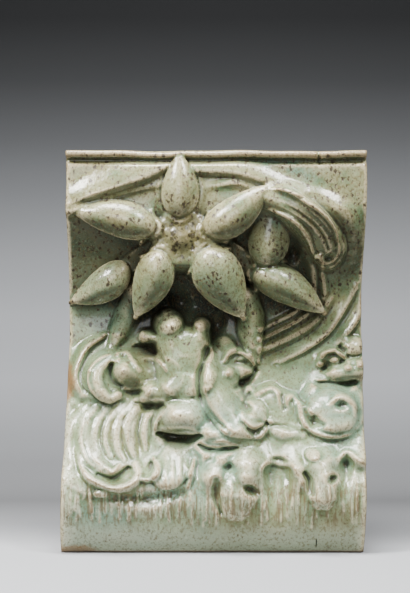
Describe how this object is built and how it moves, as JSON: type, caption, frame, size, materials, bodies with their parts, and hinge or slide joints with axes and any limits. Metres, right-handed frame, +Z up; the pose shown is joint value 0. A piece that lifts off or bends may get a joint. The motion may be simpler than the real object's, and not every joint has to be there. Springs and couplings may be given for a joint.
{
  "type": "relief frieze tile",
  "caption": "Glazed stoneware bas-relief panel: a hollow-backed frieze tile with a deep cove, carved with starfish, bladder-wrack and curling waves.",
  "frame": {"origin": "middle of the underside's width, on the flat base, 62 mm in front of the back plane", "axes": "+Z up, +X to the right of someone facing the carving, +Y towards the back; the carving faces -Y"},
  "size_m": [0.365, 0.1389, 0.478],
  "materials": {
    "glaze": "glossy celadon-green stoneware glaze with brown speckles, breaking to warm buff on edges"
  },
  "bodies": {
    "root": {"relief_tile": "glaze"}
  },
  "joints": []
}
